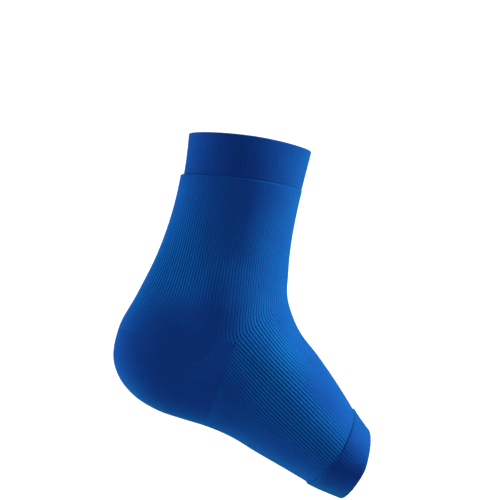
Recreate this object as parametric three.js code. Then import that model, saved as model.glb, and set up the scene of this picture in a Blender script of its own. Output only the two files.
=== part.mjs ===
// A knitted elastic support for a right ankle: a ribbed tube over the lower leg and the foot, with a
// shaped heel pocket and a turned cuff at each end. Toes and leg come out of its two open ends.
// Millimetres. The origin is the centre of the ankle, +X points to the toes, +Z up the leg and -Y to
// the outer side of the foot. The foot stands on its ball with the heel raised, as it is worn here.
import * as THREE from 'three';
import { mergeVertices } from 'three/addons/utils/BufferGeometryUtils.js';

// Driving sizes of the leg
const legDepth = 77; // front to back under the leg cuff
const legWidth = 65; // side to side under the leg cuff
const legHeight = 80; // from the ankle's centre up to the leg cuff
const legCuffHeight = 26;

// Driving sizes of the heel and the ankle
const heelReach = 78; // from the corner of the heel pocket to the back of the heel
const ankleWidth = 67; // side to side at the corners of the heel pocket
const boneHeight = 2.5; // how far the outer ankle bone lifts the cloth
const boneSpread = 13;

// Driving sizes of the foot
const footReach = 82; // from the ankle's centre forward to the foot cuff, on the instep
const footDrop = 108; // from the ankle's centre down to the foot cuff, under the sole
const footWidth = 84; // side to side at the foot cuff
const footCuffLength = 18;

// Driving sizes of the cloth
const sleeveWall = 1.6; // ribbed knit, one layer
const pocketWall = 1.4; // plain knit, one layer
const cuffWall = 2.2; // plain knit, turned and doubled
const seamGap = 0.3; // between the edges of two neighbouring pieces
const seamStep = 1.9; // how far the sleeve stands out past the tighter leg cuff
const hemStep = 0.9; // how far the foot cuff stands out past the sleeve
const pocketTip = 1.2; // the pocket's corner is cut off this far from the sleeve's corner

// Number of facets
const frontFacets = 10; // from the front line to a side line
const backFacets = 14; // from a side line to the back line
const legRings = 15;
const footRings = 13;
const pocketRings = 12;
const legCuffRings = 5;
const footCuffRings = 4;
const quarterSteps = 32; // steps in which the length of a quarter section is measured
const insideSeam = 0.05; // how far inside the sleeve, as a place along it, a cuff takes its way on from

// The tables hold three lines that run down the tube: the front one over shin and instep, the side ones
// over the ankle bones, and the back one over heel and sole. Lengths are shares of the driving sizes.
const table = (columns, rows) =>
  rows.map((row) => Object.fromEntries(columns.map((name, i) => [name, row[i]])));

// Sections of the leg, from the leg cuff down. X in leg depths, Z in leg heights, half widths in leg
// widths. Fullness makes a quarter of the section squarer, or narrower where it is negative.
const legRows = table(
  ['place', 'frontX', 'frontZ', 'sideX', 'sideZ', 'backX', 'backZ', 'lateral', 'medial', 'frontFull', 'backFull'],
  [
    [0.0, 0.634, 0.943, 0.222, 1.0, -0.364, 1.074, 0.492, 0.508, -0.04, -0.1],
    [0.25, 0.584, 0.733, 0.173, 0.685, -0.444, 0.749, 0.462, 0.477, -0.07, -0.2],
    [0.5, 0.543, 0.511, 0.123, 0.373, -0.564, 0.433, 0.469, 0.485, -0.1, -0.32],
    [0.75, 0.521, 0.294, 0.091, 0.055, -0.725, 0.126, 0.5, 0.515, -0.1, -0.28],
  ],
);

// The bend of the ankle, where the heel pocket's corners lie on the side lines. X and Z in heel reaches,
// half widths in ankle widths.
const ankleRows = table(
  ['place', 'frontX', 'frontZ', 'sideX', 'sideZ', 'lateral', 'medial', 'frontFull'],
  [[1.0, 0.512, 0.081, 0.086, -0.238, 0.485, 0.507, -0.08]],
);

// The back line round the heel: its turn about the pocket's corner in degrees, and its distance from
// there in heel reaches.
const heelRows = table(
  ['place', 'turn', 'reach', 'backFull'],
  [
    [1.0, 174.5, 0.955, -0.02],
    [1.229, 190.6, 1.005, 0.24],
    [1.343, 198.5, 0.991, 0.34],
    [1.481, 208.1, 0.945, 0.42],
    [1.678, 222.3, 0.853, 0.46],
    [1.842, 235.3, 0.778, 0.44],
    [2.0, 249.8, 0.742, 0.4],
  ],
);

// Sections of the foot, down to the foot cuff. X in foot reaches, Z in foot drops, half widths in foot
// widths. Lean shifts the top of the foot to the inner side, in foot widths. Flare is the slope by which
// the sides spread towards the sole.
const footRows = table(
  [
    'place', 'frontX', 'frontZ', 'sideX', 'sideZ', 'backX', 'backZ',
    'lateral', 'medial', 'frontFull', 'backFull', 'lean', 'flare',
  ],
  [
    [1.25, 0.574, -0.12, 0.302, -0.304, 0.044, -0.74, 0.411, 0.417, -0.05, 0.36, 0.035, 0.08],
    [1.5, 0.724, -0.273, 0.495, -0.459, 0.237, -0.828, 0.44, 0.44, 0.0, 0.32, 0.06, 0.16],
    [1.75, 0.867, -0.431, 0.688, -0.614, 0.432, -0.912, 0.47, 0.46, 0.05, 0.3, 0.075, 0.22],
    [2.0, 0.998, -0.593, 0.873, -0.775, 0.627, -0.998, 0.5, 0.488, 0.1, 0.3, 0.083, 0.28],
  ],
);

// The cuffs run on from the sleeve's ends. Run and rise are the way of each line to the open rim, in cuff
// heights or lengths. Step is how far a line starts inside or outside the sleeve, in steps of the seam.
const legCuffLines = {
  front: { run: 0.246, rise: 0.954, step: 0.2 },
  side: { run: 0.073, rise: 1.0, step: 0.3 },
  back: { run: 0.127, rise: 1.012, step: 1.0 },
  widen: 0.03, // how much wider each side is at the rim, in leg widths
  lift: 0.06, // how much higher the outer side of the rim reaches, in cuff heights
  frontFull: -0.04, // how full the rim's front and back are
  backFull: -0.08,
};
const footCuffLines = {
  front: { run: 0.544, rise: -0.778, step: 1.0 },
  side: { run: 0.76, rise: -0.6, step: 1.0 },
  back: { run: 1.2, rise: -0.54, step: 1.0 },
  widen: 0.022,
  lift: 0,
  frontFull: -0.04,
  backFull: 0.0,
};
const sleeveLift = 0.04; // the same lift at the leg cuff's seam, in cuff heights

// Where the foot inside lifts the cloth or lets it sink. X and Z in heel reaches, height in bone heights,
// spread in bone spreads.
const bones = table(
  ['side', 'x', 'z', 'height', 'spread'],
  [
    ['lateral', -0.024, 0.097, 1.0, 1.0],
    ['medial', 0.056, 0.204, 1.2, 1.05],
    ['lateral', -0.406, 0.163, -0.6, 1.08],
    ['medial', -0.38, 0.17, -0.6, 1.08],
  ],
);

// A table in millimetres: each named column times its size.
function sized(rows, sizes) {
  const scale = (name, value) => value * (sizes[name] ?? 1);
  return rows.map((row) =>
    Object.fromEntries(Object.entries(row).map(([name, value]) => [name, scale(name, value)])),
  );
}

// A smooth curve through some columns of a table, as a function of the place along it.
function through(rows, names) {
  const last = rows.length - 1;
  const span = (i) => rows[i + 1].place - rows[i].place;
  const value = (i, name) => rows[i][name] ?? 0;
  const rate = (i, name) => (value(i + 1, name) - value(i, name)) / span(i);
  const bend = (i, name) => (rate(i + 1, name) - rate(i, name)) / (span(i) + span(i + 1));
  const slope = (i, name) => {
    if (last === 1) return rate(0, name);
    if (i === 0) return rate(0, name) - bend(0, name) * span(0);
    return rate(i - 1, name) + bend(Math.min(i - 1, last - 2), name) * span(i - 1);
  };
  return (place) => {
    let i = 0;
    while (i < last - 1 && place > rows[i + 1].place) i += 1;
    const u = (place - rows[i].place) / span(i);
    const blend = (name) =>
      value(i, name) * (1 + 2 * u) * (1 - u) ** 2 +
      slope(i, name) * span(i) * u * (1 - u) ** 2 +
      value(i + 1, name) * u * u * (3 - 2 * u) +
      slope(i + 1, name) * span(i) * u * u * (u - 1);
    return Object.fromEntries(names.map((name) => [name, blend(name)]));
  };
}

const legSizes = {
  frontX: legDepth, sideX: legDepth, backX: legDepth,
  frontZ: legHeight, sideZ: legHeight, backZ: legHeight,
  lateral: legWidth, medial: legWidth,
};
const ankleSizes = {
  frontX: heelReach, sideX: heelReach, frontZ: heelReach, sideZ: heelReach,
  lateral: ankleWidth, medial: ankleWidth,
};
const footSizes = {
  frontX: footReach, sideX: footReach, backX: footReach,
  frontZ: footDrop, sideZ: footDrop, backZ: footDrop,
  lateral: footWidth, medial: footWidth, lean: footWidth,
};
const leg = sized(legRows, legSizes);
const ankle = sized(ankleRows, ankleSizes);
const foot = sized(footRows, footSizes);

const corner = { x: ankle[0].sideX, z: ankle[0].sideZ };
const heel = heelRows.map(({ place, turn, reach, backFull }) => ({
  place,
  backX: corner.x + heelReach * reach * Math.cos(THREE.MathUtils.degToRad(turn)),
  backZ: corner.z + heelReach * reach * Math.sin(THREE.MathUtils.degToRad(turn)),
  backFull,
}));

// The front and side lines know no heel, so their place goes from 0 at the leg cuff over 1 at the ankle
// to 2 at the foot cuff. The back line has the heel as a unit of its own, from 1 to 2.
const limbNames = ['frontX', 'frontZ', 'sideX', 'sideZ', 'lateral', 'medial', 'frontFull', 'lean', 'flare', 'lift'];
const backNames = ['backX', 'backZ', 'backFull'];
const liftedLeg = [{ ...leg[0], lift: sleeveLift * legCuffHeight }, ...leg.slice(1)];
const limbCurve = through([...liftedLeg, ...ankle, ...foot], limbNames);
const pastHeel = foot.map((row) => ({ ...row, place: row.place + 1 }));
const backCurve = through([...leg, ...heel, ...pastHeel], backNames);

// One section of the tube. The slope of each side line's cloth in X and Z keeps the surface smooth across it.
function section(limb, back, place, backPlace) {
  const here = limb(place);
  const nudge = 0.01;
  const before = limb(place - nudge);
  const after = limb(place + nudge);
  const run = new THREE.Vector2(after.sideX - before.sideX, after.sideZ - before.sideZ);
  const along = run.clone().normalize();
  const outward = new THREE.Vector2(along.y, -along.x);
  const slopes = Object.fromEntries(
    ['lateral', 'medial'].map((side) => {
      const widening = (after[side] - before[side]) / run.length();
      return [side, along.clone().multiplyScalar(widening).addScaledVector(outward, here.flare)];
    }),
  );
  return { ...here, ...back(backPlace), along, slopes };
}

const legSection = (place) => section(limbCurve, backCurve, place, place);
const footSection = (place) => section(limbCurve, backCurve, place, place + 1);
const heelSection = (share) => section(limbCurve, backCurve, 1, 1 + share);

// The height of the bones and hollows under the cloth.
function relief(side, x, z) {
  const one = (bone) => {
    const away = Math.hypot(x - bone.x * heelReach, z - bone.z * heelReach) / (bone.spread * boneSpread);
    return boneHeight * bone.height * Math.exp(-(away ** 2) / 2);
  };
  return bones.filter((bone) => bone.side === side).reduce((sum, bone) => sum + one(bone), 0);
}

// A point of a quarter section: turn 0 is on the side line, a quarter turn on the front or back line.
function cloth(cut, side, end, turn) {
  const reach = Math.sin(turn);
  const full = 1 + cut[`${end}Full`] * reach ** 2;
  const toEnd = new THREE.Vector2(cut[`${end}X`] - cut.sideX, cut[`${end}Z`] - cut.sideZ);
  const lift = side === 'lateral' ? cut.lift * Math.cos(turn) ** 2 : 0;
  const x = cut.sideX + toEnd.x * reach - cut.along.x * lift;
  const z = cut.sideZ + toEnd.y * reach - cut.along.y * lift;
  const spread = cut.slopes[side].dot(toEnd) * reach * (1 - reach) ** 2;
  const half = cut[side] * Math.cos(turn) * full + spread + relief(side, x, z);
  const lean = end === 'front' ? cut.lean * reach ** 2 : 0;
  return new THREE.Vector3(x, (side === 'lateral' ? -half : half) + lean, z);
}

// Points at equal distances along a quarter section, from the side line to the front or back line. With
// a start, the first point lies that share of the way from the side line.
function quarter(cut, side, end, facets, start = 0) {
  const fine = Array.from({ length: quarterSteps + 1 }, (_, i) =>
    cloth(cut, side, end, (i / quarterSteps) * (Math.PI / 2)),
  );
  const length = [0];
  for (let i = 1; i <= quarterSteps; i += 1) length.push(length[i - 1] + fine[i].distanceTo(fine[i - 1]));
  return Array.from({ length: facets + 1 }, (_, k) => {
    const wanted = length[quarterSteps] * (start + (1 - start) * (k / facets));
    let i = 1;
    while (i < quarterSteps && length[i] < wanted) i += 1;
    const share = (wanted - length[i - 1]) / (length[i] - length[i - 1]);
    return fine[i - 1].clone().lerp(fine[i], share);
  });
}

// A half ring from one side line over the back to the other.
function backRow(cut, start = 0) {
  const lateral = quarter(cut, 'lateral', 'back', backFacets, start);
  const medial = quarter(cut, 'medial', 'back', backFacets, start).reverse();
  return [...lateral, ...medial.slice(1)];
}

// A half ring from the inner side line over the front to the outer one.
function frontRow(cut) {
  const medial = quarter(cut, 'medial', 'front', frontFacets);
  const lateral = quarter(cut, 'lateral', 'front', frontFacets).reverse();
  return [...medial, ...lateral.slice(1)];
}

const evenly = (from, to, steps) => Array.from({ length: steps + 1 }, (_, i) => from + ((to - from) * i) / steps);

// The triangles between rows of points, as a list of corners. Rows run the way that puts them outside.
function between(rows) {
  const corners = [];
  for (let i = 0; i + 1 < rows.length; i += 1) {
    for (let j = 0; j + 1 < rows[i].length; j += 1) {
      const [a, b] = [rows[i][j], rows[i][j + 1]];
      const [c, d] = [rows[i + 1][j + 1], rows[i + 1][j]];
      corners.push(a, b, c, a, c, d);
    }
  }
  return corners;
}

// A closed solid: the sheet of triangles, its copy a wall's thickness inside, and the edges between them.
function thickened(corners, wall) {
  const sheet = mergeVertices(new THREE.BufferGeometry().setFromPoints(corners), 1e-4);
  sheet.computeVertexNormals();
  const place = sheet.getAttribute('position');
  const normal = sheet.getAttribute('normal');
  const faces = Array.from(sheet.index.array);
  const points = [];
  for (const depth of [0, wall]) {
    for (let i = 0; i < place.count; i += 1) {
      const out = new THREE.Vector3().fromBufferAttribute(normal, i);
      points.push(new THREE.Vector3().fromBufferAttribute(place, i).addScaledVector(out, -depth));
    }
  }
  const inside = (i) => i + place.count;
  const solid = [...faces];
  const edges = new Map();
  for (let i = 0; i < faces.length; i += 3) {
    const [a, b, c] = faces.slice(i, i + 3);
    solid.push(inside(a), inside(c), inside(b));
    for (const [from, to] of [[a, b], [b, c], [c, a]]) {
      if (!edges.delete(`${to} ${from}`)) edges.set(`${from} ${to}`, [from, to]);
    }
  }
  for (const [from, to] of edges.values()) {
    solid.push(to, from, inside(from), to, inside(from), inside(to));
  }
  const geometry = new THREE.BufferGeometry().setFromPoints(points);
  geometry.setIndex(solid);
  geometry.computeVertexNormals();
  return geometry;
}

// The sleeve: leg and foot joined over the instep, and open between them for the heel pocket.
function ribbedSleeve() {
  const legCuts = evenly(0, 1, legRings).map(legSection);
  const footCuts = evenly(1, 2, footRings).map(footSection);
  return thickened(
    [
      ...between(legCuts.map((cut) => backRow(cut))),
      ...between(footCuts.map((cut) => backRow(cut))),
      ...between([...legCuts, ...footCuts.slice(1)].map(frontRow)),
    ],
    sleeveWall,
  );
}

// The heel pocket fans out about the two corners. A seam gap parts it from the sleeve.
function heelPocket() {
  const line = quarter(heelSection(0), 'lateral', 'back', backFacets);
  const length = line.slice(1).reduce((sum, point, i) => sum + point.distanceTo(line[i]), 0);
  const fan = evenly(0, 1, pocketRings).map((share) => backRow(heelSection(share), pocketTip / length));
  const path = fan[0].map((_, j) => new THREE.CatmullRomCurve3(fan.map((row) => row[j])));
  const trim = path.map((curve) => seamGap / curve.getLength());
  const rows = evenly(0, 1, pocketRings).map((share) =>
    path.map((curve, j) => curve.getPointAt(trim[j] + (1 - 2 * trim[j]) * share)),
  );
  return thickened(between(rows), pocketWall);
}

// The rows of a cuff: a section just inside the sleeve, which gives the way on, the seam and the open rim.
function cuffRows(seam, inside, lines, length, step, width) {
  const middle = new THREE.Vector2((seam.frontX + seam.backX) / 2, (seam.frontZ + seam.backZ) / 2);
  const before = Math.hypot(seam.sideX - inside.sideX, seam.sideZ - inside.sideZ) / length;
  const { frontFull, backFull } = lines;
  const back = { ...inside, place: -before };
  const start = { ...seam, place: 0 };
  const rim = { ...seam, place: 1, lift: lines.lift * length, frontFull, backFull };
  for (const end of ['front', 'side', 'back']) {
    const from = new THREE.Vector2(seam[`${end}X`], seam[`${end}Z`]);
    const way = new THREE.Vector2(lines[end].run, lines[end].rise);
    const out = from.clone().sub(middle);
    out.addScaledVector(way, -out.dot(way) / way.lengthSq()).normalize();
    out.multiplyScalar(end === 'side' ? 0 : step * lines[end].step);
    for (const row of [back, start, rim]) {
      const on = row === rim ? length : 0;
      const source = row === back ? inside : seam;
      row[`${end}X`] = source[`${end}X`] + out.x + way.x * on;
      row[`${end}Z`] = source[`${end}Z`] + out.y + way.y * on;
    }
  }
  for (const side of ['lateral', 'medial']) {
    back[side] = inside[side] + step * lines.side.step;
    start[side] = seam[side] + step * lines.side.step;
    rim[side] = start[side] + lines.widen * width;
  }
  return [back, start, rim];
}

// A turned cuff, from its seam at the sleeve to its open rim. Its rings run the way that the leg does.
function cuff(seam, inside, lines, length, step, width, rings, upwards) {
  const rows = cuffRows(seam, inside, lines, length, step, width);
  const limb = through(rows, limbNames);
  const back = through(rows, backNames);
  const cuts = evenly(seamGap / length, 1, rings).map((place) => section(limb, back, place, place));
  if (upwards) {
    cuts.forEach((cut) => cut.along.negate());
    cuts.reverse();
  }
  return thickened(between(cuts.map((cut) => [...backRow(cut), ...frontRow(cut).slice(1)])), cuffWall);
}

const legCuff = () =>
  cuff(legSection(0), legSection(insideSeam), legCuffLines, legCuffHeight, -seamStep, legWidth, legCuffRings, true);
const footCuff = () =>
  cuff(
    footSection(2), footSection(2 - insideSeam), footCuffLines, footCuffLength, hemStep, footWidth,
    footCuffRings, false,
  );

// Elastic knit in royal blue, with a faint sheen. The plain knit is a little smoother than the ribs.
const ribbedKnit = new THREE.MeshStandardMaterial({ color: 0x0d4fa6, roughness: 0.82, metalness: 0 });
const plainKnit = new THREE.MeshStandardMaterial({ color: 0x0b4a9e, roughness: 0.76, metalness: 0 });

const ankleSupport = new THREE.Group();
const pieces = [
  ['leg_cuff', legCuff(), plainKnit],
  ['ribbed_sleeve', ribbedSleeve(), ribbedKnit],
  ['heel_pocket', heelPocket(), plainKnit],
  ['foot_cuff', footCuff(), plainKnit],
];
for (const [name, geometry, material] of pieces) {
  const mesh = new THREE.Mesh(geometry, material);
  mesh.name = name;
  ankleSupport.add(mesh);
}

export default ankleSupport;
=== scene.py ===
import math

import bpy
import numpy as np
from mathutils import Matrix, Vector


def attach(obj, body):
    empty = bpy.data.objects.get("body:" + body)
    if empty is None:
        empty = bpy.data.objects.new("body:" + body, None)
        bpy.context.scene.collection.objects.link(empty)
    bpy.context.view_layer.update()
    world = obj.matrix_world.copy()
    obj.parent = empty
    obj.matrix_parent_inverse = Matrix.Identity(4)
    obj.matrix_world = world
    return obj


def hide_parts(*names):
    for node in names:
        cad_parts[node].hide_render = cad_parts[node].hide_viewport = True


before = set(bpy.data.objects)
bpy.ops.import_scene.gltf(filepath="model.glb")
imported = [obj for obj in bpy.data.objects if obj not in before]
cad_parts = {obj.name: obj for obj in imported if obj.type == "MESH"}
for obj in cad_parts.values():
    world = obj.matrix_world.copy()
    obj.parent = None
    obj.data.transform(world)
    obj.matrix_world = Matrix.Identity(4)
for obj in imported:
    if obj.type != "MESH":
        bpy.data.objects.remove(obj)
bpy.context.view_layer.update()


# Ribbed sleeve
# The elastic tube over leg, instep and foot, knitted in one go. Its ribs run from the leg cuff to the foot
# cuff: those in front turn with the ankle, and those behind end at the heel pocket and start again below.
LEG_DEPTH, LEG_WIDTH, LEG_HEIGHT = 0.077, 0.065, 0.080
LEG_CUFF_HEIGHT = 0.026
HEEL_REACH, ANKLE_WIDTH = 0.078, 0.067
BONE_HEIGHT, BONE_SPREAD = 0.0025, 0.013
FOOT_REACH, FOOT_DROP, FOOT_WIDTH = 0.082, 0.108, 0.084
SLEEVE_WALL = 0.0016
SLEEVE_LIFT = 0.04  # of the cuff's height: how much higher its outer side reaches
FRONT_RIBS, BACK_RIBS = 27, 35  # from a side line to the front line, and to the back line
RIB_COLUMNS = 5  # columns of faces to a rib
RIB_DEPTH, RIB_SUNK = 0.0005, 0.7  # from groove to top, and the share of it below the cloth's surface
RIB_ROUNDNESS = 0.7  # 1 for ribs like a sine, less for flatter tops
ANKLE_SPREAD, SOLE_SPREAD = -0.12, 0.08  # how much further apart the ribs behind start at the side lines
SPREAD_REACH = 0.45  # of the way along the foot: from the first of these to the second
ANKLE_BEND = 0.1  # of the way down the leg: how early the ribs in front start to turn
POCKET_TRIM, TRIM_LENGTH = 0.3, 0.005  # how much clearer the ribs stand right below the pocket, and how far
SLEEVE_EDGE = 0.0005  # radius of its rounded ends
COURSE = 0.0011  # height of a row of loops
QUARTER_STEPS = 400  # to measure a quarter of a section by


def table(columns, sizes, rows):
    """A table of sections: every column by name, in the size that it is a share of."""
    return [{n: v * sizes.get(n, 1) for n, v in zip(columns.split(), row)} for row in rows]


leg_rows = table(
    "place frontX frontZ sideX sideZ backX backZ lateral medial frontFull backFull lift",
    {
        "frontX": LEG_DEPTH, "sideX": LEG_DEPTH, "backX": LEG_DEPTH,
        "frontZ": LEG_HEIGHT, "sideZ": LEG_HEIGHT, "backZ": LEG_HEIGHT,
        "lateral": LEG_WIDTH, "medial": LEG_WIDTH, "lift": LEG_CUFF_HEIGHT,
    },
    [
        [0.0, 0.634, 0.943, 0.222, 1.0, -0.364, 1.074, 0.492, 0.508, -0.04, -0.1, SLEEVE_LIFT],
        [0.25, 0.584, 0.733, 0.173, 0.685, -0.444, 0.749, 0.462, 0.477, -0.07, -0.2, 0],
        [0.5, 0.543, 0.511, 0.123, 0.373, -0.564, 0.433, 0.469, 0.485, -0.1, -0.32, 0],
        [0.75, 0.521, 0.294, 0.091, 0.055, -0.725, 0.126, 0.5, 0.515, -0.1, -0.28, 0],
    ],
)
ankle_rows = table(
    "place frontX frontZ sideX sideZ lateral medial frontFull",
    {
        "frontX": HEEL_REACH, "sideX": HEEL_REACH, "frontZ": HEEL_REACH, "sideZ": HEEL_REACH,
        "lateral": ANKLE_WIDTH, "medial": ANKLE_WIDTH,
    },
    [[1.0, 0.512, 0.081, 0.086, -0.238, 0.485, 0.507, -0.08]],
)
heel_rows = table(
    "place turn reach backFull",
    {"reach": HEEL_REACH, "turn": math.pi / 180},
    [
        [1.0, 174.5, 0.955, -0.02],
        [1.229, 190.6, 1.005, 0.24],
        [1.343, 198.5, 0.991, 0.34],
        [1.481, 208.1, 0.945, 0.42],
        [1.678, 222.3, 0.853, 0.46],
        [1.842, 235.3, 0.778, 0.44],
        [2.0, 249.8, 0.742, 0.4],
    ],
)
foot_rows = table(
    "place frontX frontZ sideX sideZ backX backZ lateral medial frontFull backFull lean flare",
    {
        "frontX": FOOT_REACH, "sideX": FOOT_REACH, "backX": FOOT_REACH,
        "frontZ": FOOT_DROP, "sideZ": FOOT_DROP, "backZ": FOOT_DROP,
        "lateral": FOOT_WIDTH, "medial": FOOT_WIDTH, "lean": FOOT_WIDTH,
    },
    [
        [1.25, 0.574, -0.12, 0.302, -0.304, 0.044, -0.74, 0.411, 0.417, -0.05, 0.36, 0.035, 0.08],
        [1.5, 0.724, -0.273, 0.495, -0.459, 0.237, -0.828, 0.44, 0.44, 0.0, 0.32, 0.06, 0.16],
        [1.75, 0.867, -0.431, 0.688, -0.614, 0.432, -0.912, 0.47, 0.46, 0.05, 0.3, 0.075, 0.22],
        [2.0, 0.998, -0.593, 0.873, -0.775, 0.627, -0.998, 0.5, 0.488, 0.1, 0.3, 0.083, 0.28],
    ],
)
bones = table(
    "side x z height spread",
    {"x": HEEL_REACH, "z": HEEL_REACH, "height": BONE_HEIGHT, "spread": BONE_SPREAD},
    [
        ["lateral", -0.024, 0.097, 1.0, 1.0],
        ["medial", 0.056, 0.204, 1.2, 1.05],
        ["lateral", -0.406, 0.163, -0.6, 1.08],
        ["medial", -0.38, 0.17, -0.6, 1.08],
    ],
)


def through(rows, names):
    """The smooth curve through a table's rows: a function from places to each name's values there."""
    places = np.array([row["place"] for row in rows])
    values = np.array([[row.get(name, 0.0) for name in names] for row in rows])
    span = np.diff(places)[:, None]
    rate = np.diff(values, axis=0) / span
    bend = np.diff(rate, axis=0) / (span[:-1] + span[1:])
    bend = np.vstack([bend, bend[-1:]])
    slope = np.vstack([rate[:1] - bend[:1] * span[:1], rate + bend * span])

    def at(place):
        i = np.searchsorted(places[1:-1], place)
        u = ((place - places[i]) / span[i, 0])[:, None]
        curve = values[i] * (1 + 2 * u) * (1 - u) ** 2 + slope[i] * span[i] * u * (1 - u) ** 2
        curve += values[i + 1] * u * u * (3 - 2 * u) + slope[i + 1] * span[i] * u * u * (u - 1)
        return {name: curve[:, k : k + 1] for k, name in enumerate(names)}

    return at


LIMB_NAMES = ("frontX", "frontZ", "sideX", "sideZ", "lateral", "medial", "frontFull", "lean", "flare", "lift")
BACK_NAMES = ("backX", "backZ", "backFull")
corner_x, corner_z = ankle_rows[0]["sideX"], ankle_rows[0]["sideZ"]
for row in heel_rows:
    row["backX"] = corner_x + row["reach"] * math.cos(row["turn"])
    row["backZ"] = corner_z + row["reach"] * math.sin(row["turn"])
limb_curve = through(leg_rows + ankle_rows + foot_rows, LIMB_NAMES)
past_heel = [{**row, "place": row["place"] + 1} for row in foot_rows]
back_curve = through(leg_rows + heel_rows + past_heel, BACK_NAMES)


def sections(limb, back, place, back_place):
    """Sections of the tube, with the slope of each side line's cloth, which keeps the surface smooth."""
    nudge = 0.01
    here, before, after = limb(place), limb(place - nudge), limb(place + nudge)
    run_x, run_z = (after[name] - before[name] for name in ("sideX", "sideZ"))
    run = np.hypot(run_x, run_z)
    cut = {**here, **back(back_place), "alongX": run_x / run, "alongZ": run_z / run}
    for side in ("lateral", "medial"):
        widening = (after[side] - before[side]) / run
        cut[side + "X"] = cut["alongX"] * widening + cut["alongZ"] * here["flare"]
        cut[side + "Z"] = cut["alongZ"] * widening - cut["alongX"] * here["flare"]
    return cut


def leg_sections(place):
    return sections(limb_curve, back_curve, place, place)


def foot_sections(place):
    return sections(limb_curve, back_curve, place, place + 1)


def cloth(cut, side, end, turn):
    """Points of a quarter of each section, from the side line at turn 0 to the front or back line."""
    reach = np.sin(turn)
    to_x, to_z = cut[end + "X"] - cut["sideX"], cut[end + "Z"] - cut["sideZ"]
    lift = cut["lift"] * np.cos(turn) ** 2 if side == "lateral" else 0.0
    x = cut["sideX"] + to_x * reach - cut["alongX"] * lift
    z = cut["sideZ"] + to_z * reach - cut["alongZ"] * lift
    half = cut[side] * np.cos(turn) * (1 + cut[end + "Full"] * reach**2)
    half += (cut[side + "X"] * to_x + cut[side + "Z"] * to_z) * reach * (1 - reach) ** 2
    for bone in bones:
        if bone["side"] == side:
            away = np.hypot(x - bone["x"], z - bone["z"]) / bone["spread"]
            half += bone["height"] * np.exp(-(away**2) / 2) * (1 - reach**8)
    lean = cut["lean"] * reach**2 if end == "front" else 0.0
    return np.stack([x, (-half if side == "lateral" else half) + lean, z], axis=2)


def lengths(lines):
    """How far each point lies along its line, from the line's first point."""
    steps = np.linalg.norm(np.diff(lines, axis=1), axis=2)
    return np.concatenate([np.zeros((len(lines), 1)), np.cumsum(steps, axis=1)], axis=1)


def spaced(lines, shares):
    """Each line of points again, at the given shares of its length."""
    shares = np.broadcast_to(shares, (len(lines), np.shape(shares)[-1]))
    along = lengths(lines)
    return np.stack(
        [
            np.stack([np.interp(share * far[-1], far, line[:, axis]) for axis in range(3)], axis=1)
            for line, far, share in zip(lines, along, shares)
        ]
    )


def quarter(cut, side, end, shares):
    """Points of a quarter of each section, at shares of its length from the side line."""
    return spaced(cloth(cut, side, end, np.linspace(0, math.pi / 2, QUARTER_STEPS + 1)), shares)


def half_ring(cut, side, spread, drift, bend):
    """Points of half of each section, a few to a rib, from the front line by a side line to the back line."""
    turns = np.linspace(0, math.pi / 2, QUARTER_STEPS + 1)
    before, behind = cloth(cut, side, "front", turns[::-1]), cloth(cut, side, "back", turns)
    line = np.concatenate([before, behind[:, 1:]], axis=1)
    along = lengths(line)
    at_side, whole = along[:, QUARTER_STEPS, None], along[:, -1:]
    front = np.linspace(0, 1, FRONT_RIBS * RIB_COLUMNS + 1)[:-1]
    back = np.linspace(0, 1, BACK_RIBS * RIB_COLUMNS + 1)
    back = back + spread * back * (1 - back)
    front_at = at_side * front + (drift + bend * (1 - front**6)) * front**2 * (3 - 2 * front)
    back_at = at_side + (whole - at_side) * back + drift * (1 - back) ** 2 * (1 + 2 * back)
    return spaced(line, np.concatenate([front_at, back_at], axis=1) / whole)


def rings(cut, spread=0.0, drift=0.0, bend=0.0):
    """Rings of points from the front line over the outer side, the back and the inner side. Ribs that spread
    stand further apart at the side lines than at the back line; those that drift leave the side lines behind,
    and the bend is added to that in front of them."""
    outer, inner = (half_ring(cut, side, spread, drift, bend) for side in ("lateral", "medial"))
    return np.concatenate([inner[:, :1], outer[:, 1:], inner[:, -2::-1]], axis=1)


def smooth(value, low, high):
    """0 below low, 1 above high and a soft rise between them."""
    u = np.clip((value - low) / (high - low), 0, 1)
    return u * u * (3 - 2 * u)


def rolled(away, radius):
    """How far cloth has sunk at a distance from its rounded edge."""
    near = np.clip(radius - away, 0, radius * 0.999)
    return radius - np.sqrt(radius**2 - near**2)


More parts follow.
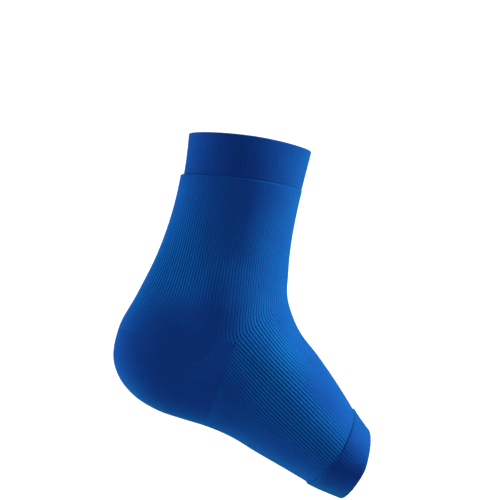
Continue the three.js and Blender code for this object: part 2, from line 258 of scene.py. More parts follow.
def knitted_wall(name, patches, wall):
    """A closed piece of cloth from grids of points that share their edges. Each grid comes with its place on
    the knit, in ribs and courses, with how strongly its ribs stand out, and how far its edges are rolled."""
    points, knit, relief, roll = (
        np.concatenate([np.reshape(patch[i], (-1, size)) for patch in patches])
        for i, size in enumerate((3, 2, 1, 1))
    )
    quads, start = [], 0
    for patch in patches:
        rows, columns = patch[0].shape[:2]
        index = start + np.arange(rows * columns).reshape(rows, columns)
        quads.append(np.stack([index[:-1, :-1], index[:-1, 1:], index[1:, 1:], index[1:, :-1]], axis=2))
        start += rows * columns
    quads = np.concatenate([quad.reshape(-1, 4) for quad in quads])
    _, first, same = np.unique(np.round(points, 9), axis=0, return_index=True, return_inverse=True)
    same, count = same.ravel(), len(first)
    faces = same[quads]
    across = points[quads]
    facing = np.cross(across[:, 2] - across[:, 0], across[:, 3] - across[:, 1])
    normals = np.zeros((count, 3))
    np.add.at(normals, faces, facing[:, None, :])
    normals /= np.linalg.norm(normals, axis=1)[:, None]
    begin, finish = quads.ravel(), np.roll(quads, -1, axis=1).ravel()
    edge = same[begin] * count + same[finish]
    open_edges = ~np.isin(edge, same[finish] * count + same[begin])
    begin, finish = begin[open_edges], finish[open_edges]
    rim = np.stack([same[finish], same[begin], same[begin] + count, same[finish] + count], axis=1)
    faces = np.concatenate([faces, faces[:, ::-1] + count, rim])
    corners = np.concatenate([quads, quads[:, ::-1], np.stack([finish, begin, begin, finish], axis=1)])
    sunk = roll[first]
    places = np.concatenate([points[first] - normals * sunk, points[first] - normals * (wall - sunk)])
    mesh = bpy.data.meshes.new(name)
    mesh.from_pydata(places.tolist(), [], faces.tolist())
    mesh.uv_layers.new(name="knit").uv.foreach_set("vector", knit[corners.ravel()].ravel())
    for label, kind, field, values in (
        ("rib", "FLOAT", "value", np.tile(knit[first, 0], 2)),
        ("relief", "FLOAT", "value", np.concatenate([relief[first], 0.5 * relief[first]])),
        ("outward", "FLOAT_VECTOR", "vector", np.tile(normals, (2, 1))),
    ):
        mesh.attributes.new(label, kind, "POINT").data.foreach_set(field, np.ravel(values))
    piece = bpy.data.objects.new(name, mesh)
    bpy.context.scene.collection.objects.link(piece)
    return piece


def new_tree(name, inputs):
    """A Geometry Nodes tree with its first input for the mesh and a named one for each size or material."""
    tree = bpy.data.node_groups.new(name, "GeometryNodeTree")
    for label, kind in [("Geometry", "Geometry"), *inputs]:
        tree.interface.new_socket(label, in_out="INPUT", socket_type="NodeSocket" + kind)
    tree.interface.new_socket("Geometry", in_out="OUTPUT", socket_type="NodeSocketGeometry")
    return tree, tree.nodes.new("NodeGroupInput").outputs


def add_node(tree, kind, settings=None, inputs=None):
    """A node with its settings, and with a value or a link in each named or numbered input."""
    node = tree.nodes.new(kind)
    for name, value in (settings or {}).items():
        setattr(node, name, value)
    for name, value in (inputs or {}).items():
        if isinstance(value, bpy.types.NodeSocket):
            tree.links.new(value, node.inputs[name])
        else:
            node.inputs[name].default_value = value
    return node.outputs


def close_tree(tree, geometry, material):
    """Ends a tree: instances made real, the material given, and the result put out."""
    real = add_node(tree, "GeometryNodeRealizeInstances", {}, {"Geometry": geometry})
    given = add_node(tree, "GeometryNodeSetMaterial", {}, {"Geometry": real[0], "Material": material})
    add_node(tree, "NodeGroupOutput", {}, {0: given[0]})


def named(tree, name, kind):
    return add_node(tree, "GeometryNodeInputNamedAttribute", {"data_type": kind}, {"Name": name})[0]


def calc(tree, operation, first, second=0.0):
    return add_node(tree, "ShaderNodeMath", {"operation": operation}, {0: first, 1: second})[0]


rib_tree, given = new_tree(
    "ribs", [("Depth", "Float"), ("Sunk", "Float"), ("Roundness", "Float"), ("Material", "Material")]
)
phase = calc(rib_tree, "MULTIPLY", named(rib_tree, "rib", "FLOAT"), math.pi)
arch = calc(rib_tree, "ABSOLUTE", calc(rib_tree, "SINE", phase))
arch = calc(rib_tree, "POWER", arch, given["Roundness"])
rise = calc(rib_tree, "SUBTRACT", arch, given["Sunk"])
rise = calc(rib_tree, "MULTIPLY", rise, named(rib_tree, "relief", "FLOAT"))
rise = calc(rib_tree, "MULTIPLY", rise, given["Depth"])
offset = add_node(
    rib_tree, "ShaderNodeVectorMath", {"operation": "SCALE"},
    {0: named(rib_tree, "outward", "FLOAT_VECTOR"), "Scale": rise},
)
moved = add_node(
    rib_tree, "GeometryNodeSetPosition", {}, {"Geometry": given["Geometry"], "Offset": offset[0]}
)
close_tree(rib_tree, moved[0], given["Material"])


def baked(piece, tree, values, crease=75):
    """Runs a tree on a piece with the given inputs, and leaves the result as a plain smooth mesh."""
    shape = piece.modifiers.new(tree.name, "NODES")
    shape.node_group = tree
    for item in tree.interface.items_tree:
        if item.in_out == "INPUT" and item.name in values:
            shape[item.identifier] = values[item.name]
    bpy.context.view_layer.update()
    done = bpy.data.meshes.new_from_object(piece.evaluated_get(bpy.context.evaluated_depsgraph_get()))
    piece.modifiers.remove(shape)
    old, piece.data = piece.data, done
    bpy.data.meshes.remove(old)
    done.name = piece.name
    for label in ("rib", "outward"):
        if label in done.attributes:
            done.attributes.remove(done.attributes[label])
    done.shade_smooth()
    done.set_sharp_from_angle(angle=math.radians(crease))
    return piece


class Wire:
    """A shader socket that takes part in sums: each sum adds its Math node."""

    def __init__(self, socket):
        self.socket = socket

    def node(self, kind, settings=None, inputs=None, output=0):
        """A new node's output. A ramp's stops are (place, colour) pairs."""
        tree = self.socket.id_data
        settings = dict(settings or {})
        stops = settings.pop("stops", None)
        made = tree.nodes.new(kind)
        for name, value in settings.items():
            setattr(made, name, value)
        for i, (place, colour) in enumerate(stops or []):
            ramp = made.color_ramp.elements
            mark = ramp[i] if i < len(ramp) else ramp.new(1.0)
            mark.position, mark.color = place, colour
        for name, value in (inputs or {}).items():
            if isinstance(value, Wire):
                tree.links.new(value.socket, made.inputs[name])
            else:
                made.inputs[name].default_value = value
        return Wire(made.outputs[output])

    def math(self, operation, other=0.0, flip=False):
        pair = (other, self) if flip else (self, other)
        return self.node("ShaderNodeMath", {"operation": operation}, {0: pair[0], 1: pair[1]})

    def __add__(self, other):
        return self.math("ADD", other)

    def __sub__(self, other):
        return self.math("SUBTRACT", other)

    def __rsub__(self, other):
        return self.math("SUBTRACT", other, flip=True)

    def __mul__(self, other):
        return self.math("MULTIPLY", other)

    def __pow__(self, other):
        return self.math("POWER", other)

    def __abs__(self):
        return self.math("ABSOLUTE")

    __radd__, __rmul__ = __add__, __mul__

    def mix(self, low, high):
        """The colour between two, with this socket as the share of the second."""
        settings = {"data_type": "RGBA", "clamp_factor": True}
        return self.node("ShaderNodeMix", settings, {"Factor": self, 6: low, 7: high}, 2)


def loops(wale, course):
    """How high the knit stands: columns of V-shaped loops, one to a wale and a course."""
    across = abs(wale.math("FRACT") - 0.5) * 2
    leg = (course + across * 0.55).math("FRACT")
    apart = across - 0.5
    return (leg * math.pi).math("SINE") ** 0.7 * (1 - apart * apart * 2.6)


def two_of(vector):
    """The first two parts of a vector."""
    parts = vector.node("ShaderNodeSeparateXYZ", {}, {0: vector}).socket.node
    return Wire(parts.outputs[0]), Wire(parts.outputs[1])


def new_material(name):
    """A material, its shader, and a wire for the object's coordinates."""
    made = bpy.data.materials.new(name)
    made.use_nodes = True
    nodes = made.node_tree.nodes
    return made, nodes["Principled BSDF"], Wire(nodes.new("ShaderNodeTexCoord").outputs["Object"])


def ribs_and_courses(where):
    """How many ribs and courses of the knit lie before a point."""
    return two_of(where.node("ShaderNodeUVMap", {"uv_map": "knit"}))


def mottle(where, scale, detail):
    return where.node("ShaderNodeTexNoise", {}, {"Vector": where, "Scale": scale, "Detail": detail})


def by_number(wire):
    """A random value for each rib or wale."""
    return wire.node("ShaderNodeTexWhiteNoise", {"noise_dimensions": "1D"}, {"W": wire.math("FLOOR")})


def finish_cloth(shader, tone, tone_colours, height, depth, roughness):
    """Colours the cloth by its tone, which carries its uneven colour and any painted light and shade, links
    what changes over it, and sets what is the same all over it.
    """
    tree = shader.id_data
    stops = [(i / (len(tone_colours) - 1), stop_colour) for i, stop_colour in enumerate(tone_colours)]
    colour = tone.node("ShaderNodeValToRGB", {"stops": stops}, {"Fac": tone})
    tree.links.new(colour.socket, shader.inputs["Base Color"])
    bump = height.node("ShaderNodeBump", {}, {"Strength": 1.0, "Distance": depth, "Height": height})
    tree.links.new(bump.socket, shader.inputs["Normal"])
    tree.links.new(roughness.socket, shader.inputs["Roughness"])
    shader.inputs["Specular IOR Level"].default_value = 0.0
    shader.inputs["Sheen Weight"].default_value = SHEEN
    shader.inputs["Sheen Roughness"].default_value = 0.5
    shader.inputs["Sheen Tint"].default_value = SHEEN_TINT


SHEEN, SHEEN_TINT = 0.3, (0.02, 0.6, 0.85, 1)
# The colour range for each cloth's tone, from dark through the dye to bright. It carries the knit's uneven
# colour and also the painted light and shade on ribs and loops.
DEEP_TONE, DYE, BRIGHT_TONE = (0.006, 0.024, 0.185, 1), (0.010, 0.057, 0.345, 1), (0.007, 0.155, 0.55, 1)
RIBBED_BUMP, PLAIN_BUMP, THREAD_BUMP = 0.00016, 0.00009, 0.00008  # how high the loops and fibres stand

ribbed_knit, shader, where = new_material("ribbed_cloth")
rib, course = ribs_and_courses(where)
relief = where.node("ShaderNodeAttribute", {"attribute_name": "relief"}, {}, 2)
# Painted light and shade: the ribs' tops are coloured lighter and their grooves darker, more so where the
# ribs stand out clearly. The loops' tops are also painted lighter and the gaps between them darker. The
# clouds, the grain and a random number for each rib are the knit's own uneven colour.
ridge_light_and_groove_shade = (rib * math.pi).math("SINE")
ridge_light_and_groove_shade = ridge_light_and_groove_shade * ridge_light_and_groove_shade
cloud, grain = mottle(where, 55.0, 3.0), mottle(where, 1400.0, 2.0)
stitch = loops(rib, course)
tone = (ridge_light_and_groove_shade * 1.2 - 0.27) * relief + by_number(rib) * relief * 0.14
tone = tone + cloud * 0.25 + stitch * 0.12 + grain * 0.1 + 0.24
tone_colours = (DEEP_TONE, DYE, BRIGHT_TONE)
finish_cloth(shader, tone, tone_colours, stitch + grain * 0.5, RIBBED_BUMP, 0.78 - stitch * 0.12)

leg_places = np.concatenate([[0, 0.0022, 0.0055, 0.0100, 0.0160], np.linspace(0.024, 1, 33)])
foot_places = np.concatenate([np.linspace(1, 1.976, 31), [1.984, 1.990, 1.9955, 2.0]])
foot_cuts = foot_sections(foot_places)
still_to_go = np.clip(1 - (foot_places - 1) / SPREAD_REACH, 0, 1)
spread = ANKLE_SPREAD + (SOLE_SPREAD - ANKLE_SPREAD) * (1 - still_to_go**2)
side_x, side_z = foot_cuts["sideX"] - foot_cuts["sideX"][0], foot_cuts["sideZ"] - foot_cuts["sideZ"][0]
down_x, down_z = foot_cuts["backX"] - foot_cuts["sideX"], foot_cuts["backZ"] - foot_cuts["sideZ"]
drift = (side_z * side_x[-1] - side_x * side_z[-1]) * np.hypot(down_x, down_z)
drift = drift / (down_x * side_z[-1] - down_z * side_x[-1])  # so that these ribs run straight to the toes
turning = (drift[1] - drift[0]) / (foot_places[1] - foot_places[0])


def bend_at(places):
    """How far the ribs in front of the ankle's corner cut it, so that they turn in a round bend."""
    return turning * ANKLE_BEND * np.log(1 + np.exp(-np.abs(places - 1) / ANKLE_BEND))[:, None]


leg_rings = rings(leg_sections(leg_places), 0, 0, bend_at(leg_places))
foot_rings = rings(foot_cuts, spread[:, None], drift, bend_at(foot_places))
ribs = np.arange(leg_rings.shape[1]) / RIB_COLUMNS
from_top, from_heel = lengths(leg_rings.swapaxes(0, 1)).T, lengths(foot_rings.swapaxes(0, 1)).T
to_toes = from_heel[-1] - from_heel
side_line = FRONT_RIBS * RIB_COLUMNS
down_leg, down_foot = from_top[:, side_line], from_heel[1:, side_line]
courses = np.concatenate([down_leg, down_leg[-1] + down_foot]) / COURSE
from_back = np.abs(ribs - FRONT_RIBS - BACK_RIBS)
around = np.where(from_back < BACK_RIBS, from_back / BACK_RIBS - 1, (from_back - BACK_RIBS) / FRONT_RIBS)
around_columns = [-1, -0.6, -0.3, -0.12, 0, 0.3, 0.6, 1]  # from the back line at -1 to the front line at 1


def clearness(rows, places):
    """How clearly the ribs stand out: each row has its place on the limb, and a value for each column."""
    across = np.stack([np.interp(around, around_columns, row[1:]) for row in rows])
    at = [row[0] for row in rows]
    return np.stack([np.interp(places, at, column) for column in across.T], axis=1)


on_leg = clearness(
    [
        [0.0, 0.15, 0.2, 0.12, 0.09, 0.08, 0.1, 0.1, 0.1],
        [0.1, 0.25, 0.3, 0.2, 0.13, 0.1, 0.1, 0.08, 0.08],
        [0.2, 0.3, 0.42, 0.27, 0.16, 0.1, 0.12, 0.08, 0.06],
        [0.4, 0.5, 0.75, 0.36, 0.24, 0.2, 0.24, 0.12, 0.06],
        [0.55, 0.55, 0.85, 0.42, 0.38, 0.36, 0.32, 0.12, 0.06],
        [0.7, 0.5, 0.5, 0.34, 0.15, 0.2, 0.22, 0.12, 0.08],
        [0.83, 0.5, 0.12, 0.05, 0.06, 0.24, 0.32, 0.13, 0.08],
        [1.0, 0.2, 0.04, 0.02, 0.08, 0.45, 0.6, 0.25, 0.1],
    ],
    leg_places,
)
on_foot = clearness(
    [
        [1.0, 0.15, 0.12, 0.15, 0.25, 0.45, 0.6, 0.25, 0.1],
        [1.3, 0.12, 0.06, 0.36, 0.75, 1.0, 0.75, 0.2, 0.08],
        [1.55, 0.12, 0.06, 0.32, 0.9, 1.0, 0.14, 0.05, 0.05],
        [1.8, 0.12, 0.06, 0.25, 0.75, 0.75, 0.0, 0.02, 0.04],
        [2.0, 0.12, 0.06, 0.16, 0.5, 0.5, 0.02, 0.02, 0.03],
    ],
    foot_places,
)
at_pocket = np.where(around < 0, np.exp(-from_heel / TRIM_LENGTH), 0)
on_foot = on_foot + POCKET_TRIM * at_pocket * smooth(-around, 0, 0.1)
on_foot = on_foot * np.where(around < 0, smooth(from_heel, -0.001, 0.0012), 1)  # they start from little


def knit_places(ribs, courses):
    return np.stack(np.meshgrid(ribs, courses), axis=2)


ribbed_sleeve = knitted_wall(
    "ribbed_sleeve_knit",
    [
        (
            leg_rings,
            knit_places(ribs, courses[: len(leg_places)]),
            on_leg,
            rolled(from_top, SLEEVE_EDGE),
        ),
        (
            foot_rings,
            knit_places(ribs, courses[len(leg_places) - 1 :]),
            on_foot,
            rolled(to_toes, SLEEVE_EDGE),
        ),
    ],
    SLEEVE_WALL,
)
rib_sizes = {"Depth": RIB_DEPTH, "Sunk": RIB_SUNK, "Roundness": RIB_ROUNDNESS}
baked(ribbed_sleeve, rib_tree, {**rib_sizes, "Material": ribbed_knit})
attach(ribbed_sleeve, "root")
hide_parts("ribbed_sleeve")


# Heel pocket
# A cup of plain knit for the heel, knitted to and fro in short rows between the two corners of the ankle.
# Its rows run parallel to the sleeve's edge above and below, and meet in a slanting gore on each side.
POCKET_WALL = 0.0014
POCKET_REACH = 0.065  # from an ankle's corner to the back line
POCKET_TIP = 0.0008  # how far from the corner it starts
POCKET_GAP = 0.00006  # to the sleeve above and below
POCKET_COLUMNS, POCKET_ROWS = 70, 64
FAN_STEPS = 180  # to measure the heel by, from its upper to its lower edge
PLAIN_WALES, PLAIN_COURSE = 2, 0.00085  # wales to a rib, and metres


def heel_sections(share):
    return sections(limb_curve, back_curve, np.ones_like(share), 1 + share)


fan = heel_sections(np.linspace(0, 1, FAN_STEPS + 1))
tip = POCKET_TIP / POCKET_REACH
tips = tip + (1 - tip) * np.linspace(0, 1, POCKET_COLUMNS + 1)
pocket_lines = np.concatenate(
    [quarter(fan, "lateral", "back", tips), quarter(fan, "medial", "back", tips[::-1])[:, 1:]], axis=1
).swapaxes(0, 1)
trim = (POCKET_GAP / lengths(pocket_lines)[:, -1])[:, None]
row_shares = trim + (1 - 2 * trim) * np.linspace(0, 1, POCKET_ROWS + 1)
pocket_grid = spaced(pocket_lines, row_shares).swapaxes(0, 1)
from_corner = lengths(pocket_grid)
from_corner = np.minimum(from_corner, from_corner[:, -1:] - from_corner)
fan_turn = heel_rows[-1]["turn"] - heel_rows[0]["turn"]
turned = np.linspace(0, 1, POCKET_ROWS + 1)
turned = fan_turn * np.minimum(turned, 1 - turned)[:, None]
pocket_ribs = FRONT_RIBS + BACK_RIBS * np.linspace(0, 2, 2 * POCKET_COLUMNS + 1)
pocket_courses = from_corner * np.sin(turned) / PLAIN_COURSE
pocket_knit = np.stack([np.broadcast_to(pocket_ribs, from_corner.shape), pocket_courses], axis=2)

plain_knit, shader, where = new_material("heel_cloth")
rib, course = ribs_and_courses(where)
cloud, grain = mottle(where, 48.0, 3.0), mottle(where, 1500.0, 2.0)
stitch = loops(rib * PLAIN_WALES, course)
# Painted light and shade: the loops' tops are coloured lighter and the gaps between them darker. The clouds
# and grain are the knit's own uneven colour.
tone = stitch * 0.2 + cloud * 0.3 + grain * 0.14 + 0.13
finish_cloth(shader, tone, tone_colours, stitch + grain * 0.5, PLAIN_BUMP, 0.74 - stitch * 0.08)

still = np.zeros(from_corner.shape)
heel_pocket = knitted_wall("heel_pocket_knit", [(pocket_grid, pocket_knit, still, still)], POCKET_WALL)
baked(heel_pocket, rib_tree, {**rib_sizes, "Depth": 0.0, "Material": plain_knit})
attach(heel_pocket, "root")
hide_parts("heel_pocket")


# Gore stitches
# Where the short rows of the heel turn, each turn leaves a small knot of the same yarn. They lie across the
# gore in a row on both sides of the heel, from the ankle's corner towards the back.
GORE_START, GORE_END = 0.0012, 0.041  # from the corner
GORE_SIZES = {"Pitch": 0.0021, "Length": 0.0015, "Width": 0.0007, "Height": 0.0005}
KNOT_LIFT = 0.00002  # above the cloth

stitch_tree, given = new_tree(
    "row_of_stitches",
    [(size, "Float") for size in ("Pitch", "Length", "Width", "Height")] + [("Material", "Material")],
)
line = add_node(stitch_tree, "GeometryNodeMeshToCurve", {}, {"Mesh": given["Geometry"]})[0]
line = add_node(
    stitch_tree, "GeometryNodeResampleCurve", {"mode": "LENGTH"}, {"Curve": line, "Length": given["Pitch"]}
)[0]
one = add_node(stitch_tree, "GeometryNodeMeshUVSphere", {}, {"Segments": 6, "Rings": 5, "Radius": 0.5})[0]
facing = add_node(
    stitch_tree, "FunctionNodeAxesToRotation", {"primary_axis": "Z", "secondary_axis": "X"},
    {
        "Primary Axis": named(stitch_tree, "outward", "FLOAT_VECTOR"),
        "Secondary Axis": add_node(stitch_tree, "GeometryNodeInputTangent")[0],
    },
)[0]
size = add_node(
    stitch_tree, "ShaderNodeCombineXYZ", {}, {"X": given["Width"], "Y": given["Length"], "Z": given["Height"]}
)[0]
row = add_node(
    stitch_tree, "GeometryNodeInstanceOnPoints", {},
    {"Points": line, "Instance": one, "Rotation": facing, "Scale": size},
)[0]
close_tree(stitch_tree, row, given["Material"])


def stitched(name, lines, sizes, material):
    """A row of stitches along each line of points and outward directions, as one piece."""
    places, outward, edges = [], [], []
    for points, out in lines:
        edges += [(len(places) + i, len(places) + i + 1) for i in range(len(points) - 1)]
        places += points.tolist()
        outward += out.tolist()
    mesh = bpy.data.meshes.new(name)
    mesh.from_pydata(places, edges, [])
    mesh.attributes.new("outward", "FLOAT_VECTOR", "POINT").data.foreach_set("vector", np.ravel(outward))
    piece = bpy.data.objects.new(name, mesh)
    bpy.context.scene.collection.objects.link(piece)
    baked(piece, stitch_tree, {**sizes, "Material": material}, crease=180)
    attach(piece, "root")
    return piece


def outward_of(grid, row, columns):
    """The way that a grid of points faces along one of its rows."""
    before, after = max(row - 1, 0), min(row + 1, len(grid) - 1)
    down = grid[after, columns] - grid[before, columns]
    width = grid.shape[1]
    nearby = [np.clip(columns + step, 0, width - 1) for step in (-1, 1)]
    facing = np.cross(grid[row, nearby[1]] - grid[row, nearby[0]], down)
    return facing / np.linalg.norm(facing, axis=1)[:, None]


thread, shader, where = new_material("seam_thread")
grain = mottle(where, 1800.0, 2.0)
finish_cloth(shader, grain * 0.5 + 0.35, (DEEP_TONE, BRIGHT_TONE), grain, THREAD_BUMP, 0.74 - grain * 0.05)

gore_lines = []
middle_row = POCKET_ROWS // 2
for columns in (np.arange(POCKET_COLUMNS + 1), np.arange(2 * POCKET_COLUMNS, POCKET_COLUMNS - 1, -1)):
    away = from_corner[middle_row, columns]
    on_gore = columns[(away > GORE_START) & (away < GORE_END)]
    out = outward_of(pocket_grid, middle_row, on_gore)
    gore_lines.append((pocket_grid[middle_row, on_gore] + out * KNOT_LIFT, out))
gore_stitches = stitched("gore_stitches", gore_lines, GORE_SIZES, thread)


# Leg cuff
# The tighter band at the top, plain knit that is turned over and doubled, so it is thicker and has a round
# upper rim. It is knitted on to the sleeve, which stands out a little past it at the back.
LEG_SEAM_STEP = -0.0019  # how far it stands out past the sleeve at the back: below 0, it stands in
INSIDE_SEAM = 0.05  # places into the sleeve, where the cuff takes its way from
SEAM_GAP = 0.00015  # from the cuff to the seam's middle
CUFF_WALL = 0.0022
CUFF_EDGE, CUFF_FOLD = 0.0004, 0.47 * CUFF_WALL  # radius of the edge at the seam, and of the turned rim
leg_cuff_lines = {  # how far each line of it runs and rises for its length, and its share of the step
    "front": (0.246, 0.954, 0.2),
    "side": (0.073, 1.0, 0.3),
    "back": (0.127, 1.012, 1.0),
    "widen": 0.03 * LEG_WIDTH, "lift": 0.06 * LEG_CUFF_HEIGHT, "frontFull": -0.04, "backFull": -0.08,
}


def cuff_sections(seam, inside, lines, length, step, places):
    """Sections of a cuff, from its seam at the sleeve to its open rim. It takes its way from just inside."""
    seam, inside = ({name: float(value[0, 0]) for name, value in cut.items()} for cut in (seam, inside))
    middle = np.array([seam["frontX"] + seam["backX"], seam["frontZ"] + seam["backZ"]]) / 2
    before = math.hypot(seam["sideX"] - inside["sideX"], seam["sideZ"] - inside["sideZ"]) / length
    back, start, rim = {**inside, "place": -before}, {**seam, "place": 0.0}, {**seam, "place": 1.0}
    rim.update(lift=lines["lift"], frontFull=lines["frontFull"], backFull=lines["backFull"])
    for end in ("front", "side", "back"):
        run, rise, share = lines[end]
        way = np.array([run, rise])
        out = np.array([seam[end + "X"], seam[end + "Z"]]) - middle
        out = out - way * (out @ way) / (way @ way)
        out = out / np.linalg.norm(out) * (0 if end == "side" else step * share)
        for row, source, on in ((back, inside, 0), (start, seam, 0), (rim, seam, length)):
            row[end + "X"] = source[end + "X"] + out[0] + way[0] * on
            row[end + "Z"] = source[end + "Z"] + out[1] + way[1] * on
    for side in ("lateral", "medial"):
        back[side] = inside[side] + step * lines["side"][2]
        start[side] = seam[side] + step * lines["side"][2]
        rim[side] = start[side] + lines["widen"]
    rows = [back, start, rim]
    return sections(through(rows, LIMB_NAMES), through(rows, BACK_NAMES), places, places)


def cuff_places(length, steps):
    """Places from a cuff's seam to its rim, close together where its two edges are rolled."""
    turns = np.radians([90, 68, 46, 24, 0])
    low = SEAM_GAP + CUFF_EDGE * (1 - np.sin(turns))
    high = length - CUFF_FOLD * (1 - np.sin(turns))
    return np.concatenate([low, np.linspace(low[-1], high[-1], steps + 1)[1:-1], high[::-1]]) / length


def cuff_roll(from_seam, to_rim):
    return np.maximum(rolled(from_seam, CUFF_EDGE), rolled(to_rim, CUFF_FOLD))


places = cuff_places(LEG_CUFF_HEIGHT, 14)
first, just_in = np.array([0.0]), np.array([INSIDE_SEAM])
cut = cuff_sections(
    leg_sections(first), leg_sections(just_in), leg_cuff_lines, LEG_CUFF_HEIGHT, LEG_SEAM_STEP, places
)
cut["alongX"], cut["alongZ"] = -cut["alongX"], -cut["alongZ"]  # it was cut from the seam up, not down
leg_cuff_rings = rings(cut)[::-1]
from_rim = lengths(leg_cuff_rings.swapaxes(0, 1)).T
to_seam = from_rim[-1] - from_rim
leg_cuff_knit = knit_places(ribs, from_rim[:, side_line] / PLAIN_COURSE)
leg_cuff_knit_ribs = 0.12 * smooth(from_rim, 0.002, 0.006)

cuff_knit, shader, where = new_material("cuff_cloth")
rib, course = ribs_and_courses(where)
wale = rib * PLAIN_WALES
cloud, grain = mottle(where, 50.0, 3.0), mottle(where, 1500.0, 2.0)
stitch = loops(wale, course)
# Painted light and shade: the loops' tops are coloured lighter and the gaps between them darker. The clouds,
# the grain and a random number for each wale are the knit's own uneven colour.
tone = stitch * 0.2 + cloud * 0.28 + grain * 0.12 + by_number(wale) * 0.08 + 0.04
finish_cloth(shader, tone, tone_colours, stitch + grain * 0.5, PLAIN_BUMP, 0.74 - stitch * 0.08)

leg_cuff = knitted_wall(
    "leg_cuff_knit",
    [(leg_cuff_rings, leg_cuff_knit, leg_cuff_knit_ribs, cuff_roll(to_seam, from_rim))],
    CUFF_WALL,
)
baked(leg_cuff, rib_tree, {**rib_sizes, "Material": cuff_knit})
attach(leg_cuff, "root")
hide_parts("leg_cuff")


# Foot cuff
# The hem at the ball of the foot, the same turned plain knit. It is a little looser than the sleeve, stands
# out past it, and the sleeve's ribs still show through at its sides.
FOOT_CUFF_LENGTH = 0.018
HEM_STEP = 0.0009  # how far it stands out past the sleeve
foot_cuff_lines = {
    "front": (0.544, -0.778, 1.0),
    "side": (0.76, -0.6, 1.0),
    "back": (1.2, -0.54, 1.0),
    "widen": 0.022 * FOOT_WIDTH, "lift": 0.0, "frontFull": -0.04, "backFull": 0.0,
}
places = cuff_places(FOOT_CUFF_LENGTH, 11)
cut = cuff_sections(
    foot_sections(first + 2), foot_sections(2 - just_in), foot_cuff_lines, FOOT_CUFF_LENGTH, HEM_STEP, places
)
foot_cuff_rings = rings(cut, SOLE_SPREAD)
from_seam = lengths(foot_cuff_rings.swapaxes(0, 1)).T
to_rim = from_seam[-1] - from_seam
foot_cuff_knit = knit_places(ribs, from_seam[:, side_line] / PLAIN_COURSE)
ribs_through = on_foot[-1] * (0.15 + 0.75 * smooth(-from_seam, -0.012, -0.001))
foot_cuff = knitted_wall(
    "foot_cuff_knit",
    [(foot_cuff_rings, foot_cuff_knit, ribs_through, cuff_roll(from_seam, to_rim))],
    CUFF_WALL,
)
baked(foot_cuff, rib_tree, {**rib_sizes, "Material": cuff_knit})
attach(foot_cuff, "root")
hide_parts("foot_cuff")


# Cuff seams
# A row of linking loops joins each cuff to the sleeve. They lie sunk in the groove between the two.
LINK_SIZES = {"Pitch": 0.00095, "Length": 0.0013, "Width": 0.0008, "Height": 0.0007}
LINK_DEPTH = 0.0006  # below the cloth's surface
for name, sleeve_end, row, cuff_end, cuff_row in (
    ("leg_cuff_seam", leg_rings, 0, leg_cuff_rings, -1),
    ("foot_cuff_seam", foot_rings, len(foot_rings) - 1, foot_cuff_rings, 0),
):
    every = np.arange(0, len(ribs), 2)
    out = outward_of(sleeve_end, row, every)
    between = (sleeve_end[row, every] + cuff_end[cuff_row, every]) / 2 - out * LINK_DEPTH
    stitched(name, [(between, out)], LINK_SIZES, thread)


# Floor, backdrop and lights
# A wide floor of pale paper that curves up to a narrower wall. The paper glows by itself like a lamp: fully
# on the wall behind the object, and faintly everywhere else.
# Two soft lights stand on the toes' side and one behind the heel, so the side that faces the camera stays
# darker than the two edges, as in the photograph.
FLOOR_Z, FLOOR_REACH = -0.32, 14.0
SWEEP_START, SWEEP_RADIUS = 0.9, 0.6
WALL_REACH, WALL_TOP = 4.0, 3.0
PAPER = (0.40, 0.36, 0.40, 1)
GLOW_FAINT, GLOW_FULL, GLOW_STRENGTH = (0.12, 0.12, 0.12, 1), (1, 1, 1, 1), 0.95
DAYLIGHT, DAYLIGHT_STRENGTH = (0.5, 0.55, 0.62, 1), 0.36
LIGHT_SIZE = 0.6
sweep_profile = [(FLOOR_REACH, -FLOOR_REACH, FLOOR_Z), (FLOOR_REACH, SWEEP_START, FLOOR_Z)]
sweep_profile += [
    (WALL_REACH, SWEEP_START + SWEEP_RADIUS * math.sin(a), FLOOR_Z + SWEEP_RADIUS * (1 - math.cos(a)))
    for a in np.linspace(0, math.pi / 2, 17)[1:]
]
sweep_profile.append((WALL_REACH, SWEEP_START + SWEEP_RADIUS, WALL_TOP))
sweep = bpy.data.meshes.new("studio_sweep")
sweep.from_pydata(
    [(x, y, z) for half, y, z in sweep_profile for x in (-half, half)],
    [],
    [(2 * i, 2 * i + 1, 2 * i + 3, 2 * i + 2) for i in range(len(sweep_profile) - 1)],
)
sweep.shade_smooth()
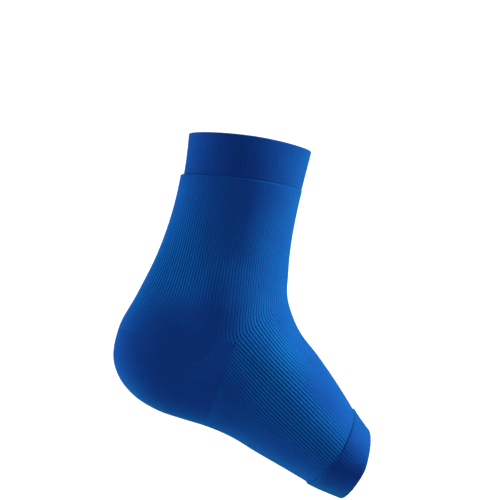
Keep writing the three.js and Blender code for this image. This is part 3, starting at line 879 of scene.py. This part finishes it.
studio = bpy.data.objects.new("studio_sweep", sweep)
bpy.context.scene.collection.objects.link(studio)
paper, shader, where = new_material("glowing_paper")
shader.inputs["Base Color"].default_value = PAPER
shader.inputs["Roughness"].default_value = 0.9
# The paper's glow is painted light. It lights the object's edges from behind like a lamp.
shader.inputs["Emission Strength"].default_value = GLOW_STRENGTH
across, back = two_of(where)
# Full from 0.95 m behind the object and within 1.7 m to either side, with soft edges
behind_it = (back * 4.0 - 2.8).math("MINIMUM", 2.0 - abs(across) * 0.6)
paper.node_tree.links.new(behind_it.mix(GLOW_FAINT, GLOW_FULL).socket, shader.inputs["Emission Color"])
sweep.materials.append(paper)


def soft_light(name, place, aim, power, colour):
    """A square studio light that faces a point."""
    lamp = bpy.data.lights.new(name, "AREA")
    lamp.shape, lamp.size, lamp.energy, lamp.color = "SQUARE", LIGHT_SIZE, power, colour
    holder = bpy.data.objects.new(name, lamp)
    bpy.context.scene.collection.objects.link(holder)
    way = Vector(aim) - Vector(place)
    holder.location, holder.rotation_euler = place, way.to_track_quat("-Z", "Y").to_euler()


soft_light("toe_side_light", (1.15, 0.1, 0.35), (0.02, 0, -0.02), 13, (0.65, 1, 0.75))
soft_light("instep_light", (0.95, -0.2, 0.8), (0.04, 0, -0.04), 14.5, (0.65, 1, 0.85))
soft_light("heel_side_light", (-1.1, 0.3, 0.16), (0, 0, -0.02), 14.5, (0.8, 0.95, 1))

world = bpy.data.worlds.new("studio")
world.use_nodes = True
world.node_tree.nodes["Background"].inputs["Color"].default_value = DAYLIGHT
world.node_tree.nodes["Background"].inputs["Strength"].default_value = DAYLIGHT_STRENGTH
bpy.context.scene.world = world
bpy.context.scene.view_settings.view_transform = "Standard"

camera = bpy.data.cameras.new("camera")
camera.lens, camera.sensor_width = 100, 36
eye = bpy.data.objects.new("camera", camera)
eye.location, eye.rotation_euler = (0.01585, -0.88, 0.03804), (math.pi / 2, 0, 0)
bpy.context.scene.collection.objects.link(eye)
bpy.context.scene.camera = eye
